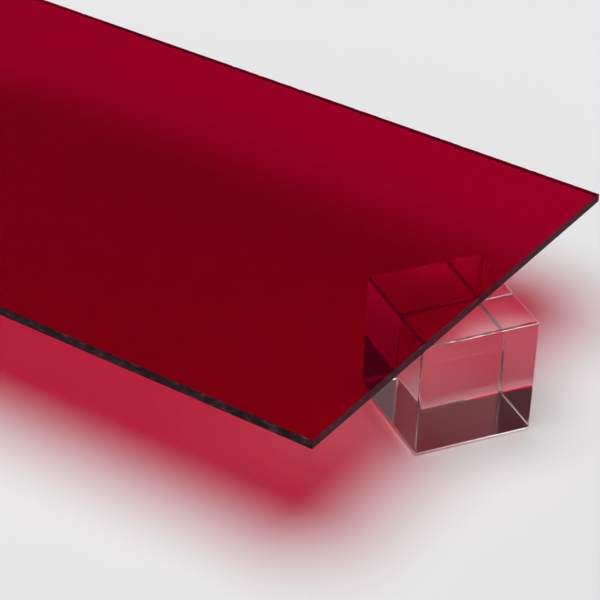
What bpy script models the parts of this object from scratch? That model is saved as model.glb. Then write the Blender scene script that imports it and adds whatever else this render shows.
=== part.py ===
"""Transparent red sheet lying level and loose across two solid clear cubes.

Units are metres and +Z is up. The origin is on the table, below the middle of the sheet.
+X runs along the sheet's long side and +Y along its short side.
"""

import math

import bpy

# The sheet, a rectangle sawn from flat stock
SHEET_LENGTH = 0.320
SHEET_WIDTH = 0.212
SHEET_THICKNESS = 0.0038
SHEET_ARRIS = 0.0002

# The cubes, solid blocks with small rounded edges
CUBE_EDGE = 0.050
CUBE_ROUNDING = 0.0010
CUBE_ROUNDING_STEPS = 3

# Where a cube stands: its middle lies this far in from the sheet's end and off the sheet's centre line
CUBE_INSET = 0.0098
CUBE_SIDE_STEP = 0.0060
CUBE_TURN = math.radians(57.5)

# Clearance between a cube's top and the sheet that lies on it
SEAT_GAP = 0.0003

# Colours as red, green, blue
SHEET_RED = (0.55, 0.0, 0.03)
CUBE_CLEAR = (0.93, 0.95, 0.95)
SHEET_ROUGHNESS = 0.05
CUBE_ROUGHNESS = 0.02
SHEET_IOR = 1.49
CUBE_IOR = 1.52

OBJECT_NAME = "raised_tinted_sheet"


def clear_scene():
    """Remove every object that is already there."""
    for old in list(bpy.data.objects):
        bpy.data.objects.remove(old, do_unlink=True)


def make_collection(name):
    """Add a collection to the scene and return it."""
    collection = bpy.data.collections.new(name)
    bpy.context.scene.collection.children.link(collection)
    return collection


def move_to(collection, item):
    """Keep an object in one collection only."""
    for other in list(item.users_collection):
        other.objects.unlink(item)
    collection.objects.link(item)


def clear_plastic(name, colour, roughness, ior):
    """Return a see-through material of one colour."""
    material = bpy.data.materials.new(name)
    material.use_nodes = True
    shader = material.node_tree.nodes["Principled BSDF"]
    shader.inputs["Base Color"].default_value = (*colour, 1.0)
    shader.inputs["Roughness"].default_value = roughness
    shader.inputs["Metallic"].default_value = 0.0
    shader.inputs["IOR"].default_value = ior
    shader.inputs["Transmission Weight"].default_value = 1.0
    return material


def make_anchor(collection, name, location, parent=None):
    """Add an empty that pieces are placed by."""
    anchor = bpy.data.objects.new(name, None)
    anchor.location = location
    anchor.parent = parent
    anchor.empty_display_size = CUBE_EDGE / 2
    collection.objects.link(anchor)
    return anchor


def make_block(collection, name, size, rounding, steps, material):
    """Add a block of the given size, standing on its own origin, with rounded edges."""
    bpy.ops.mesh.primitive_cube_add(size=1.0)
    block = bpy.context.object
    block.name = name
    block.data.name = name
    block.location = (0.0, 0.0, size[2] / 2)
    block.scale = size
    bpy.ops.object.transform_apply(location=True, rotation=False, scale=True)
    block.data.shade_smooth()
    edges = block.modifiers.new("rounded_edges", "BEVEL")
    edges.width = rounding
    edges.segments = steps
    edges.limit_method = "NONE"
    edges.harden_normals = True
    block.data.materials.append(material)
    move_to(collection, block)
    return block


def make_cube(collection, name, end, table):
    """Add one cube under an end of the sheet: end is +1 for the +X end and -1 for the -X end."""
    size = (CUBE_EDGE, CUBE_EDGE, CUBE_EDGE)
    material = clear_plastic(name + "_clear", CUBE_CLEAR, CUBE_ROUGHNESS, CUBE_IOR)
    cube = make_block(collection, name, size, CUBE_ROUNDING, CUBE_ROUNDING_STEPS, material)
    cube.parent = table
    cube.location = (end * (SHEET_LENGTH / 2 - CUBE_INSET), end * CUBE_SIDE_STEP, 0.0)
    cube.rotation_euler = (0.0, 0.0, CUBE_TURN)
    return cube


def make_sheet(collection, name, seat):
    """Add the sheet, which lies on the cubes' tops and lifts straight up."""
    size = (SHEET_LENGTH, SHEET_WIDTH, SHEET_THICKNESS)
    material = clear_plastic(name + "_red", SHEET_RED, SHEET_ROUGHNESS, SHEET_IOR)
    sheet = make_block(collection, name, size, SHEET_ARRIS, 1, material)
    sheet.parent = seat
    return sheet


def main():
    clear_scene()
    collection = make_collection(OBJECT_NAME)
    table = make_anchor(collection, "table_centre", (0.0, 0.0, 0.0))
    seat = make_anchor(collection, "sheet_seat", (0.0, 0.0, CUBE_EDGE + SEAT_GAP), table)
    make_cube(collection, "right_cube", 1, table)
    make_cube(collection, "left_cube", -1, table)
    make_sheet(collection, "tinted_sheet", seat)


main()
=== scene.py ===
# %% [markdown]
# # A transparent red sheet laid on clear cubes
#
# A flat sheet of red acrylic lies loose on two solid clear cubes, above a white table.
# White light falls through the sheet and paints the table below it red.
# Almost everything you see here is light that has gone through something, so the lesson
# is about real thickness, real absorption and a real air gap, and not about painted colour.
#
# The measured model is loaded first. It says where each piece is, in metres, and the looks
# are built round it.

# %% Load the measured model
import math

import bmesh
import bpy
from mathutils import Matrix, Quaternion, Vector, noise


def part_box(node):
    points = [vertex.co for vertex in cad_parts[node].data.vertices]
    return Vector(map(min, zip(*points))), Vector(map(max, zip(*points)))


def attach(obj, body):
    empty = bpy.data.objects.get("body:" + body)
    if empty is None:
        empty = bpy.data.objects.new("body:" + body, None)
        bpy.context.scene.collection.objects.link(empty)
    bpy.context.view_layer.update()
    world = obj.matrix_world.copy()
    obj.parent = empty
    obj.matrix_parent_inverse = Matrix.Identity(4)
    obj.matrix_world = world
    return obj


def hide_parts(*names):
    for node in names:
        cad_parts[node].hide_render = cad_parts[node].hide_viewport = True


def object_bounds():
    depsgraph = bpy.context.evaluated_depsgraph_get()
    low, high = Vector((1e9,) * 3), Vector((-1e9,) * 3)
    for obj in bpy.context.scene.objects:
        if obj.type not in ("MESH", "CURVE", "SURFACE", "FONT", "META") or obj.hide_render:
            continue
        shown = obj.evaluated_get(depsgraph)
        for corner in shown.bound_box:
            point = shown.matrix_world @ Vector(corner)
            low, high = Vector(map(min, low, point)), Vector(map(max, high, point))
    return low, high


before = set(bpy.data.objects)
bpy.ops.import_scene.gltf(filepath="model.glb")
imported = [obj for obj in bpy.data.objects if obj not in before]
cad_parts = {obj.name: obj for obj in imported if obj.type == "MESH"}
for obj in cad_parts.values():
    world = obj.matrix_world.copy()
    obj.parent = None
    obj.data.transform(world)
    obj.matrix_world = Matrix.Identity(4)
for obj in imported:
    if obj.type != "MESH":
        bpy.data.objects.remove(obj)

cad_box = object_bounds()
print("pieces in the model:", sorted(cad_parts))
print("size in mm:", [round(1000 * side, 1) for side in cad_box[1] - cad_box[0]])

# %% [markdown]
# ## The camera
#
# A long lens looks down at the right-hand end of the sheet from about a metre away.
# You could turn the camera by eye until the picture looks right. Here its place was found by
# matching the straight edges of the sheet and the corners of the cube, so it is written as
# a point to aim at, a distance, two angles and a small roll.

# %% Set up the camera
CAMERA_AIM = Vector((0.1060, -0.0341, 0.0541))
CAMERA_DISTANCE = 0.916
CAMERA_AZIMUTH = math.radians(32.88)
CAMERA_ELEVATION = math.radians(33.20)
CAMERA_ROLL = math.radians(2.22)
CAMERA_LENS_MM = 144.35
CAMERA_SENSOR_MM = 36.0
CAMERA_NEAREST = 0.01
CAMERA_FURTHEST = 100.0


def set_up_camera():
    """Aim a long lens at the end of the sheet, from the right and from above."""
    backwards = Vector((
        math.sin(CAMERA_AZIMUTH) * math.cos(CAMERA_ELEVATION),
        -math.cos(CAMERA_AZIMUTH) * math.cos(CAMERA_ELEVATION),
        math.sin(CAMERA_ELEVATION),
    ))
    lens = bpy.data.cameras.new("long_lens")
    lens.lens = CAMERA_LENS_MM
    lens.sensor_width = CAMERA_SENSOR_MM
    lens.clip_start = CAMERA_NEAREST
    lens.clip_end = CAMERA_FURTHEST
    camera = bpy.data.objects.new("camera", lens)
    camera.location = CAMERA_AIM + backwards * CAMERA_DISTANCE
    camera.rotation_mode = "QUATERNION"
    level = (-backwards).to_track_quat("-Z", "Y")
    camera.rotation_quaternion = level @ Quaternion((0.0, 0.0, 1.0), CAMERA_ROLL)
    bpy.context.scene.collection.objects.link(camera)
    bpy.context.scene.camera = camera
    return camera


camera = set_up_camera()
print("camera at", [round(c, 3) for c in camera.location])

# %% [markdown]
# ## The light
#
# The picture has no hard shadow. The red glow fades out over about 65 mm on the table, half of it
# on each side of the sheet's edge, and the sheet is 50 mm up. That can only be one very wide soft
# light, nearly straight above. A lamp of type Sun with a wide angle would do, but its rays come
# from far away. A round softbox about a metre across, hung 85 cm up and a little to the front,
# spreads the glow out past the sheet on every side and still lights the cube from the front.
#
# Light has to find its way through several faces here, so it is given many bounces.

# %% Hang the softbox
LAMP_PLACE = Vector((0.060, -0.080, 0.850))
LAMP_RADIUS = 0.49
LAMP_LEVEL = 1.0
MOST_BOUNCES = 40
MOST_BOUNCES_THROUGH = 32
MOST_BOUNCES_MIRRORED = 16


def add_softbox():
    """A round soft lamp above the table, so strong that white right below it looks white."""
    lamp = bpy.data.lights.new("softbox", "AREA")
    lamp.shape = "DISK"
    lamp.size = 2 * LAMP_RADIUS
    lamp.energy = LAMP_LEVEL * math.pi ** 2 * (LAMP_RADIUS ** 2 + LAMP_PLACE.z ** 2)
    softbox = bpy.data.objects.new("softbox", lamp)
    softbox.location = LAMP_PLACE
    softbox.visible_camera = False
    bpy.context.scene.collection.objects.link(softbox)
    return softbox


scene = bpy.context.scene
scene.view_settings.view_transform = "Standard"
scene.cycles.max_bounces = MOST_BOUNCES
scene.cycles.transmission_bounces = MOST_BOUNCES_THROUGH
scene.cycles.glossy_bounces = MOST_BOUNCES_MIRRORED
scene.cycles.transparent_max_bounces = MOST_BOUNCES_MIRRORED
scene.cycles.blur_glossy = 0.0
softbox = add_softbox()
print("softbox of", round(softbox.data.energy, 2), "watts,", round(softbox.data.size, 2), "m wide")

# %% [markdown]
# ## Helpers for nodes
#
# The room and all materials are made of nodes. You could add and link each one by hand in
# the node editor. In a script that takes many lines, so two small helpers come first: one adds
# a node with its label, and one fills a socket, with a link or with a plain value.

# %% Write helpers to add and join nodes
def add_node(tree, kind, label, **settings):
    """Add a node to a tree, with its label and settings."""
    node = tree.nodes.new(kind)
    node.label = label
    node.name = label
    for key, value in settings.items():
        setattr(node, key, value)
    return node


def plug(tree, socket, value):
    """Link another node's output to a socket, or set the socket to a plain value."""
    if isinstance(value, bpy.types.NodeSocket):
        tree.links.new(value, socket)
    else:
        socket.default_value = value


print("helpers to add and join nodes:", [helper.__name__ for helper in (add_node, plug)])

# %% [markdown]
# Four kinds of node come again and again: one stretches a value from one range to another, one does
# a sum, one mixes two colours or numbers, and one splits a direction or place into three numbers.
# Each helper hands back the node's output, so a chain of nodes reads like a chain of sums.

# %% Write helpers for the nodes used most
def stretch(tree, label, value, old_range, new_range=(0.0, 1.0)):
    """Stretch a value from one range to another."""
    node = add_node(tree, "ShaderNodeMapRange", label)
    plug(tree, node.inputs["Value"], value)
    node.inputs["From Min"].default_value = old_range[0]
    node.inputs["From Max"].default_value = old_range[1]
    node.inputs["To Min"].default_value = new_range[0]
    node.inputs["To Max"].default_value = new_range[1]
    return node.outputs["Result"]


def calculate(tree, label, operation, *values):
    """Work out one number from one or two others."""
    node = add_node(tree, "ShaderNodeMath", label, operation=operation)
    for place, value in enumerate(values):
        plug(tree, node.inputs[place], value)
    return node.outputs["Value"]


def mix(tree, label, kind, factor, first, second):
    """Mix two colours (kind RGBA) or two numbers (kind FLOAT)."""
    node = add_node(tree, "ShaderNodeMix", label, data_type=kind)
    plug(tree, node.inputs["Factor"], factor)
    plug(tree, node.inputs["A"], first)
    plug(tree, node.inputs["B"], second)
    return node.outputs["Result"]


def split(tree, label, vector):
    """Split a direction or place into its three numbers."""
    node = add_node(tree, "ShaderNodeSeparateXYZ", label)
    plug(tree, node.inputs["Vector"], vector)
    return node.outputs


print("helpers for the nodes used most:", [helper.__name__ for helper in (stretch, calculate, mix, split)])

# %% [markdown]
# ## Which rays see the background
#
# The backdrop and the far table have to look pale without lighting the object. More lamps would
# light both, so the Light Path node is used instead. It says what kind of ray is asking: one from
# the camera, one that was mirrored, one that went through something clear, or one that carries
# light to a matt surface. Only the first three see the pale background.

# %% Write the helper for rays that see
def where_seen(tree):
    """1 for rays from the camera, mirrored rays and rays that went through something, else 0."""
    path = add_node(tree, "ShaderNodeLightPath", "seen by which ray").outputs
    seen = calculate(tree, "seen or mirrored", "MAXIMUM", path["Is Camera Ray"], path["Is Glossy Ray"])
    return calculate(tree, "or seen through", "MAXIMUM", seen, path["Is Transmission Ray"])


print("helper for rays that see:", where_seen.__name__)

# %% [markdown]
# ## The room
#
# The room stays dim, so that the glossy sheet has nothing bright to reflect and keeps its deep red.
# High up it is a little blue where it is mirrored, and that faint reflection gives the darkest red
# its touch of crimson. Low down, at the horizon, there is a pale backdrop for pictures from
# a low angle. What is seen through the plastic is a grey wall, which also adds a little red to
# the glow, because that light comes through the sheet. A picture of a real room, wrapped round
# the scene, could do all this, but then none of it could be set by itself.

# %% Dim the room
ROOM_DIM = (0.006, 0.006, 0.006, 1.0)
CEILING_BLUE = (0.010, 0.012, 0.108, 1.0)
CEILING_RANGE = (math.sin(math.radians(16.0)), math.sin(math.radians(31.0)))
WALL_RANGE = (0.20, 0.65)
WALL_GREYS = (0.08, 0.28)
BACKDROP_PALE = (0.80, 0.80, 0.81, 1.0)
BACKDROP_TOP = math.sin(math.radians(12.0))


def dim_the_room():
    """A dim room, with a grey wall seen through clear things and a pale backdrop at the horizon."""
    world = bpy.data.worlds.new("dim_room")
    world.use_nodes = True
    tree = world.node_tree
    path = add_node(tree, "ShaderNodeLightPath", "kind of ray").outputs
    looking = add_node(tree, "ShaderNodeTexCoord", "direction of the ray")
    ray = split(tree, "how far back and up it goes", looking.outputs["Generated"])

    high_up = stretch(tree, "high up in the room", ray["Z"], CEILING_RANGE)
    ceiling = calculate(tree, "mirrored ceiling", "MULTIPLY", high_up, path["Is Glossy Ray"])
    room = mix(tree, "bluish ceiling", "RGBA", ceiling, ROOM_DIM, CEILING_BLUE)
    greys = stretch(tree, "paler wall at the back", ray["Y"], WALL_RANGE, WALL_GREYS)
    wall = mix(tree, "grey wall through clear things", "RGBA", path["Is Transmission Ray"], room, greys)

    low_down = stretch(tree, "near the horizon", ray["Z"], (BACKDROP_TOP, BACKDROP_TOP / 2))
    shown = calculate(tree, "backdrop shows here", "MULTIPLY", low_down, where_seen(tree))
    backdrop = mix(tree, "pale backdrop", "RGBA", shown, wall, BACKDROP_PALE)
    plug(tree, tree.nodes["Background"].inputs["Color"], backdrop)
    bpy.context.scene.world = world
    return world


world = dim_the_room()
print("room made of", len(world.node_tree.nodes), "nodes")

# %% [markdown]
# ## The table
#
# A softbox lights the table best right below it. Further out the table would turn grey and then dark,
# but in the picture it is evenly white. Before we can make up for that, we need to know how much
# light is missing. It could be read off a test render, but for a round lamp over a flat table
# there is an exact formula.

# %% Work out how much light is left
def light_left(distance):
    """How much of the lamp's light is left, this far from the spot right below the lamp."""
    wide = LAMP_RADIUS ** 2
    high = LAMP_PLACE.z ** 2
    away = distance ** 2
    here = 1 + (wide - away - high) / math.sqrt((wide + away + high) ** 2 - 4 * wide * away)
    below = 1 + (wide - high) / (wide + high)
    return here / below


print("light left half a metre out:", round(light_left(0.5), 2))

# %% [markdown]
# The table's material adds what is missing, but only where it is seen, mirrored or seen through,
# so the extra light never falls on the object. Near the object nothing is added, and the shadow stays.
# A colour ramp can't hold a formula, so it gets a row of distances and the missing light at each.

# %% Make up for the missing light
TABLE_WHITE = (0.80, 0.80, 0.81, 1.0)
EVEN_FROM = 0.20
EVEN_STEPS = (0.35, 0.42, 0.50, 0.65, 0.80, 1.00, 1.30, 1.70, 2.30, 3.00, 4.00)


def even_out(tree, shader):
    """Make up for the missing light further out, but only where the table is seen."""
    where = add_node(tree, "ShaderNodeTexCoord", "place on the table")
    away = add_node(tree, "ShaderNodeVectorMath", "distance from below the lamp", operation="DISTANCE")
    plug(tree, away.inputs[0], where.outputs["Object"])
    plug(tree, away.inputs[1], (LAMP_PLACE.x, LAMP_PLACE.y, 0.0))
    share = stretch(tree, "share of the way out", away.outputs["Value"], (0.0, EVEN_STEPS[-1]))
    missing = add_node(tree, "ShaderNodeValToRGB", "light that is missing")
    plug(tree, missing.inputs["Fac"], share)
    stops = missing.color_ramp.elements
    stops[0].position = EVEN_FROM / EVEN_STEPS[-1]
    stops[0].color = (0.0, 0.0, 0.0, 1.0)
    stops.remove(stops[1])
    for distance in EVEN_STEPS:
        stop = stops.new(distance / EVEN_STEPS[-1])
        grey = 1 - light_left(distance)
        stop.color = (grey, grey, grey, 1.0)
    added = calculate(tree, "added light", "MULTIPLY", missing.outputs["Color"], where_seen(tree))
    shader.inputs["Emission Color"].default_value = TABLE_WHITE
    plug(tree, shader.inputs["Emission Strength"], added)


print("share of light made up for at each step:", [round(1 - light_left(step), 2) for step in EVEN_STEPS])

# %% [markdown]
# The table itself is plain, matt and white, and so wide that no edge of it shows. It lies a hair's
# breadth below the cubes. That thin film of air is real: a cube that stands on a table touches it at
# a few points only, and the air under it turns its foot into a mirror. If the table were exactly at
# the foot, the mirror would be lost.

# %% Lay the white table
TABLE_HALF_WIDTH = 20.0
TABLE_ROUGHNESS = 0.6
AIR_FILM = 0.0003


def new_material(name):
    """Return a new material and its main shader."""
    material = bpy.data.materials.new(name)
    material.use_nodes = True
    return material, material.node_tree.nodes["Principled BSDF"]


def lay_table():
    """A wide flat white surface just under the cubes."""
    mesh = bpy.data.meshes.new("white_table")
    w = TABLE_HALF_WIDTH
    mesh.from_pydata([(-w, -w, 0.0), (w, -w, 0.0), (w, w, 0.0), (-w, w, 0.0)], [], [(0, 1, 2, 3)])
    table = bpy.data.objects.new("white_table", mesh)
    table.location.z = cad_box[0].z - AIR_FILM
    bpy.context.scene.collection.objects.link(table)
    material, shader = new_material("table_white")
    shader.inputs["Base Color"].default_value = TABLE_WHITE
    shader.inputs["Roughness"].default_value = TABLE_ROUGHNESS
    shader.inputs["Specular IOR Level"].default_value = 0.0
    even_out(material.node_tree, shader)
    mesh.materials.append(material)
    return table


table = lay_table()
print("table at", round(1000 * table.location.z, 2), "mm")

# %% [markdown]
# ## The sheet's shape
#
# The sheet was cut from stock with a saw. Its faces are flat and polished, but its edges keep
# the marks of the teeth: shallow scallops that lean a little, and small chips along the sharp corners.
# A bump texture would leave the outline ruler-straight, so the marks are modelled. First we walk
# round the outline in half-millimetre steps.

# %% Walk round the outline
SAW_STEP = 0.0005


def walk_outline(low, high):
    """Points round a rectangle, each with the direction that leads into the sheet."""
    corners = [(low.x, low.y), (high.x, low.y), (high.x, high.y), (low.x, high.y)]
    steps = []
    for side in range(4):
        start = Vector(corners[side])
        end = Vector(corners[(side + 1) % 4])
        along = (end - start).normalized()
        inwards = Vector((-along.y, along.x))
        count = round((end - start).length / SAW_STEP)
        for step in range(count):
            share = step / count
            bend = inwards
            if step == 0:
                bend = inwards + along
            steps.append((start.lerp(end, share), bend, share * (end - start).length, side, step == 0))
    return steps


sheet_low, sheet_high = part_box("tinted_sheet")
outline = walk_outline(sheet_low, sheet_high)
print("steps round the outline:", len(outline))

# %% [markdown]
# A saw's marks look alike but never repeat. Noise does that: a coarse one and a fine one together
# say how deep the teeth went at each place, and a third says where the sharp corner chipped.
# Random numbers would jump from one step to the next, and noise changes smoothly along the edge.

# %% Describe the marks of the saw
SAW_LEAN = 0.0009
TEETH_PER_METRE = 900.0
MIDDLE_DEPTH = 0.5
COARSE_TEETH = {"along": 0.35, "side": 7.3, "start": 0.0, "down": 0.4, "depth": 0.55}
FINE_TEETH = {"along": 1.3, "side": 3.1, "start": 2.0, "down": 0.8, "depth": 0.35}
CHIPS = {"along": 420.0, "side": 11.7, "start": 0.0, "down": 5.0}
CHIP_FROM = 0.25


def saw_noise(distance, side, level, marks):
    """A smooth wave from about -1 to 1 along the edge, different on each side and at each level."""
    down = marks["start"] + marks["down"] * level
    return noise.noise(Vector((distance * marks["along"], marks["side"] * side, down)))


def tooth_mark(distance, side, level):
    """How deep the saw's tooth went in at this place, from 0 to 1."""
    place = (distance + SAW_LEAN * level) * TEETH_PER_METRE
    coarse = COARSE_TEETH["depth"] * saw_noise(place, side, level, COARSE_TEETH)
    fine = FINE_TEETH["depth"] * saw_noise(place, side, level, FINE_TEETH)
    return min(1.0, max(0.0, MIDDLE_DEPTH + coarse + fine))


def chip(distance, side, level):
    """How much of the sharp corner broke away here, from 0 to 1."""
    wave = saw_noise(distance, side, level, CHIPS)
    return max(0.0, wave - CHIP_FROM) / (1.0 - CHIP_FROM)


chipped = [chip(distance, side, 0.0) > 0 for place, inwards, distance, side, is_corner in outline]
print("share of the top edge that is chipped:", round(sum(chipped) / len(chipped), 2))

# %% [markdown]
# At each step we stack a few points from the top face to the bottom face, and join each stack
# to the next. One flat face closes the top and one the bottom, so the sheet is a closed shape.
# The stacks get material number 1, the cut, and the flat faces number 0, the polished plastic.

# %% Saw the sheet
SAW_DEPTH = 0.00007
SAW_LEVELS = (0.00, 0.07, 0.36, 0.64, 0.93, 1.00)
CHIP_DEPTH = 0.00035
SHARP_CORNER = 0.0002
CUT_SLOT = 1


def saw_sheet(name):
    """The sheet with flat faces and sawn edges, in place of the plain solid."""
    low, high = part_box("tinted_sheet")
    thickness = high.z - low.z
    shape = bmesh.new()
    columns = []
    for place, inwards, distance, side, is_corner in outline:
        column = []
        for level, share in enumerate(SAW_LEVELS):
            depth = 0.0 if is_corner else SAW_DEPTH * tooth_mark(distance, side, share)
            if level in (0, len(SAW_LEVELS) - 1):
                depth = SHARP_CORNER
                if not is_corner:
                    depth += CHIP_DEPTH * chip(distance, side, share)
            spot = place + inwards * depth
            column.append(shape.verts.new((spot.x, spot.y, high.z - share * thickness)))
        columns.append(column)
    for left, right in zip(columns, columns[1:] + columns[:1]):
        for level in range(len(SAW_LEVELS) - 1):
            face = shape.faces.new((left[level], left[level + 1], right[level + 1], right[level]))
            face.material_index = CUT_SLOT
    shape.faces.new([column[0] for column in columns])
    shape.faces.new([column[-1] for column in reversed(columns)])
    mesh = bpy.data.meshes.new(name)
    shape.to_mesh(mesh)
    shape.free()
    sheet = bpy.data.objects.new(name, mesh)
    bpy.context.scene.collection.objects.link(sheet)
    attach(sheet, "sheet")
    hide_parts("tinted_sheet")
    return sheet


sheet = saw_sheet("sawn_red_sheet")
print("sheet has", len(sheet.data.polygons), "faces")

# %% [markdown]
# ## The sheet's red
#
# The red isn't on the surface, it is in the plastic: light loses its green and blue on the way through.
# A Volume Absorption node does just that, so the same material gives the bright glow on the table,
# where light went through once, and the deep red of the sheet, where it went through twice.
# The node wants a colour and a density. What can be seen is how much red, green and blue comes through
# one sheet, so a helper works out the two from that.

# %% Work out the absorption
SHEET_PASSED = (0.505, 0.0006, 0.036)


def absorb(tree, passed, thickness):
    """Let through these shares of red, green and blue in one thickness, and absorb the rest."""
    losses = [-math.log(share) / thickness for share in passed]
    strongest = max(losses)
    colour = [1.0 - loss / strongest for loss in losses]
    absorption = add_node(tree, "ShaderNodeVolumeAbsorption", "colour in the plastic")
    absorption.inputs["Color"].default_value = (*colour, 1.0)
    absorption.inputs["Density"].default_value = strongest
    plug(tree, tree.nodes["Material Output"].inputs["Volume"], absorption.outputs["Volume"])


sheet_thickness = sheet_high.z - sheet_low.z
print("a sheet", round(1000 * sheet_thickness, 2), "mm thick lets through", SHEET_PASSED)

# %% [markdown]
# The faces are polished and bend light as acrylic does. Their gloss is turned down, because the picture
# shows hardly any reflection on the sheet. A face that is equally smooth all over looks made up,
# so a noise adds faint wipe marks, which change the polish a little from place to place.

# %% Mix the red of the sheet
SHEET_IOR = 1.49
SHEET_GLOSS = (0.25, 0.25, 0.25, 1.0)
SHEET_WIPES = {"scale": 45.0, "shown": (0.50, 0.75), "roughness": (0.0, 0.012)}
WIPE_DETAIL = 3.0


def add_noise(tree, label, place, scale, detail):
    """A noise texture, from 0 to 1."""
    node = add_node(tree, "ShaderNodeTexNoise", label)
    plug(tree, node.inputs["Vector"], place)
    node.inputs["Scale"].default_value = scale
    node.inputs["Detail"].default_value = detail
    return node.outputs["Fac"]


def polished_plastic(name, ior, gloss, passed, thickness, wipes):
    """Plastic that bends light, absorbs some of it and has faint wipe marks."""
    material, shader = new_material(name)
    tree = material.node_tree
    shader.inputs["Base Color"].default_value = (1.0, 1.0, 1.0, 1.0)
    shader.inputs["Transmission Weight"].default_value = 1.0
    shader.inputs["IOR"].default_value = ior
    shader.inputs["Specular Tint"].default_value = gloss
    absorb(tree, passed, thickness)
    where = add_node(tree, "ShaderNodeTexCoord", "place on the piece")
    haze = add_noise(tree, "faint wipe marks", where.outputs["Object"], wipes["scale"], WIPE_DETAIL)
    polish = stretch(tree, "polish of the faces", haze, wipes["shown"], wipes["roughness"])
    plug(tree, shader.inputs["Roughness"], polish)
    return material


red = polished_plastic("red_acrylic", SHEET_IOR, SHEET_GLOSS, SHEET_PASSED, sheet_thickness, SHEET_WIPES)
sheet.data.materials.append(red)
print("red made of", len(red.node_tree.nodes), "nodes, index", SHEET_IOR)

# %% [markdown]
# ## The sawn edge
#
# The cut is rough and dull, nearly black from outside, with blotches and paler scratches that follow
# the blade. It is opaque, so it can be a second material on the same closed shape. Two noises make it,
# both drawn out along the edge: one for the blotches, and a finer one for the scratches.
# A colour ramp then turns them into dark, middle and pale tones.

# %% Write helpers for the tones of the cut
EDGE_DARK = (0.006, 0.004, 0.005, 1.0)
EDGE_MIDDLE = (0.026, 0.012, 0.015, 1.0)
EDGE_PALE = (0.150, 0.085, 0.100, 1.0)
EDGE_TONES_AT = (0.38, 0.52, 0.68)


def drawn_out_noise(tree, label, place, scales, detail):
    """A noise with its own scale along each axis."""
    mapping = add_node(tree, "ShaderNodeMapping", "room for the " + label)
    plug(tree, mapping.inputs["Vector"], place)
    mapping.inputs["Scale"].default_value = scales
    return add_noise(tree, label, mapping.outputs["Vector"], 1.0, detail)


def edge_tones(tree, value):
    """Dark, middle and pale tones of the cut."""
    node = add_node(tree, "ShaderNodeValToRGB", "tones of the cut")
    plug(tree, node.inputs["Fac"], value)
    stops = node.color_ramp.elements
    stops[0].position = EDGE_TONES_AT[0]
    stops[0].color = EDGE_DARK
    stops[1].position = EDGE_TONES_AT[2]
    stops[1].color = EDGE_PALE
    stops.new(EDGE_TONES_AT[1]).color = EDGE_MIDDLE
    return node.outputs["Color"]


print("tones of the cut change at", EDGE_TONES_AT)

# %% [markdown]
# The cut across the short end is painted a little redder and brighter than the long one, more so towards
# the back. This is painted light: it stands for the extra light that falls on the short end. It could have
# a third material. One material is enough here, because the surface itself tells the two apart: only on
# the short ends does it face left or right.

# %% Write the helper for the painted light on the short ends
# Painted light: where the brighter red of the short ends starts and how strong it gets, front to back.
END_PAINTED_LIGHT_RANGE = (-0.10, 0.10)
END_PAINTED_LIGHT_SHARE = (0.45, 0.80)


def painted_light_on_ends(tree, where):
    """How much painted light the cut gets here: only on the short ends, and more towards the back."""
    facing = split(tree, "which way the cut faces", where["Normal"])
    end = calculate(tree, "on the short ends", "ABSOLUTE", facing["X"])
    place = split(tree, "how far back", where["Object"])
    share = stretch(tree, "painted light stronger towards the back", place["Y"], END_PAINTED_LIGHT_RANGE, END_PAINTED_LIGHT_SHARE)
    return calculate(tree, "share of painted light on the ends", "MULTIPLY", end, share)


print("share of red on the short ends, front to back:", END_PAINTED_LIGHT_SHARE)

# %% [markdown]
# Seen from inside, through the plastic, the cut is a dull mirror, and it shows as the thin dark red line
# along the far edge. The Backfacing output of the Geometry node tells the two sides apart.
# The scratches also change how dull the cut is, and drive a little bump.

# %% Colour the sawn edge
BLOTCH_SCALES = (260.0, 260.0, 520.0)
BLOTCH_DETAIL = 3.0
SCRATCH_SCALES = (420.0, 420.0, 1500.0)
SCRATCH_DETAIL = 4.0
SCRATCH_SHARE = 0.50
# The next colour is painted light: a brighter red for the short ends, standing for the extra light that
# falls on them.
END_PAINTED_LIGHT_RED = (0.140, 0.024, 0.042, 1.0)
INSIDE_RED = (0.85, 0.60, 0.62, 1.0)
INSIDE_POLISH = 0.10
CUT_GLOSS = 0.12
CUT_ROUGHNESS = (0.60, 0.85)
GRAIN_STRENGTH = 0.8
GRAIN_HEIGHT = 0.0002


def sawn_cut(name):
    """Dull dark red plastic with blotches and scratches along the cut."""
    material, shader = new_material(name)
    tree = material.node_tree
    where = add_node(tree, "ShaderNodeTexCoord", "place on the sheet").outputs
    inside = add_node(tree, "ShaderNodeNewGeometry", "outside or inside").outputs["Backfacing"]
    blotches = drawn_out_noise(tree, "blotches", where["Object"], BLOTCH_SCALES, BLOTCH_DETAIL)
    scratches = drawn_out_noise(tree, "scratches", where["Object"], SCRATCH_SCALES, SCRATCH_DETAIL)

    both = mix(tree, "blotches and scratches", "FLOAT", SCRATCH_SHARE, blotches, scratches)
    tones = edge_tones(tree, both)
    # Painted light: the short ends are mixed towards a brighter red, more so towards the back.
    with_end_light_painted = mix(tree, "painted light on the short ends", "RGBA", painted_light_on_ends(tree, where), tones, END_PAINTED_LIGHT_RED)
    colour = mix(tree, "dull mirror from inside", "RGBA", inside, with_end_light_painted, INSIDE_RED)
    plug(tree, shader.inputs["Base Color"], colour)
    plug(tree, shader.inputs["Metallic"], inside)
    shader.inputs["Specular IOR Level"].default_value = CUT_GLOSS

    dull = stretch(tree, "dullness of the cut", scratches, (0.0, 1.0), CUT_ROUGHNESS)
    polish = mix(tree, "smoother from inside", "FLOAT", inside, dull, INSIDE_POLISH)
    plug(tree, shader.inputs["Roughness"], polish)
    grain = add_node(tree, "ShaderNodeBump", "grain of the cut")
    grain.inputs["Strength"].default_value = GRAIN_STRENGTH
    grain.inputs["Distance"].default_value = GRAIN_HEIGHT
    plug(tree, grain.inputs["Height"], scratches)
    plug(tree, shader.inputs["Normal"], grain.outputs["Normal"])
    return material


sheet.data.materials.append(sawn_cut("sawn_cut"))
print("sheet's materials:", [material.name for material in sheet.data.materials])

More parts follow.
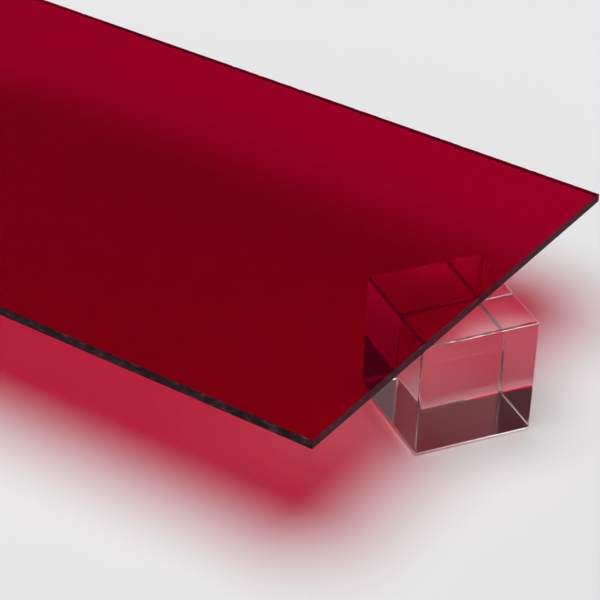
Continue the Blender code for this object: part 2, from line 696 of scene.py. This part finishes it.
# %% [markdown]
# ## The cubes
#
# Each cube is one solid clear block with small rounded edges. The flat faces act as windows and,
# seen from inside, as mirrors; the rounded edges bend light most, which is why they show as thin
# bright and dark lines. A smooth rounding matters there, so the block gets a bevel with many steps.

# %% Cut and polish the cubes
CUBE_EDGE = 0.050
CUBE_ROUNDING = 0.0014
CUBE_ROUNDING_STEPS = 10
CUBE_TURN = math.radians(57.5)


def polish_cube(name, node):
    """A clear block with smoothly rounded edges, in place of the plain solid."""
    low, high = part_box(node)
    middle = (low + high) / 2
    shape = bmesh.new()
    bmesh.ops.create_cube(shape, size=CUBE_EDGE)
    mesh = bpy.data.meshes.new(name)
    shape.to_mesh(mesh)
    shape.free()
    mesh.shade_smooth()
    cube = bpy.data.objects.new(name, mesh)
    cube.location = middle
    cube.rotation_euler.z = CUBE_TURN
    bpy.context.scene.collection.objects.link(cube)
    rounding = cube.modifiers.new("rounded_edges", "BEVEL")
    rounding.width = CUBE_ROUNDING
    rounding.segments = CUBE_ROUNDING_STEPS
    rounding.limit_method = "NONE"
    rounding.harden_normals = True
    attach(cube, "cubes")
    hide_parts(node)
    return cube


right_cube = polish_cube("polished_right_cube", "right_cube")
left_cube = polish_cube("polished_left_cube", "left_cube")
print("cube edge", round(1000 * CUBE_EDGE, 1), "mm")

# %% [markdown]
# ## The clear material
#
# Clear plastic has no colour of its own to paint, so what makes it look real is how it bends light
# and how clean it is. The helper that made the sheet's plastic makes this one too. Faint wipe marks
# change the polish a little, and a trace of absorption dulls long paths through the block.

# %% Make the cubes clear
CUBE_IOR = 1.50
CUBE_PASSED = (0.992, 0.992, 0.990)
CUBE_GLOSS = (0.45, 0.45, 0.45, 1.0)
CUBE_WIPES = {"scale": 90.0, "shown": (0.45, 0.75), "roughness": (0.0, 0.008)}

clear = polished_plastic("clear_block", CUBE_IOR, CUBE_GLOSS, CUBE_PASSED, CUBE_EDGE, CUBE_WIPES)
for cube in (right_cube, left_cube):
    cube.data.materials.append(clear)
print("cubes made clear, index", CUBE_IOR)
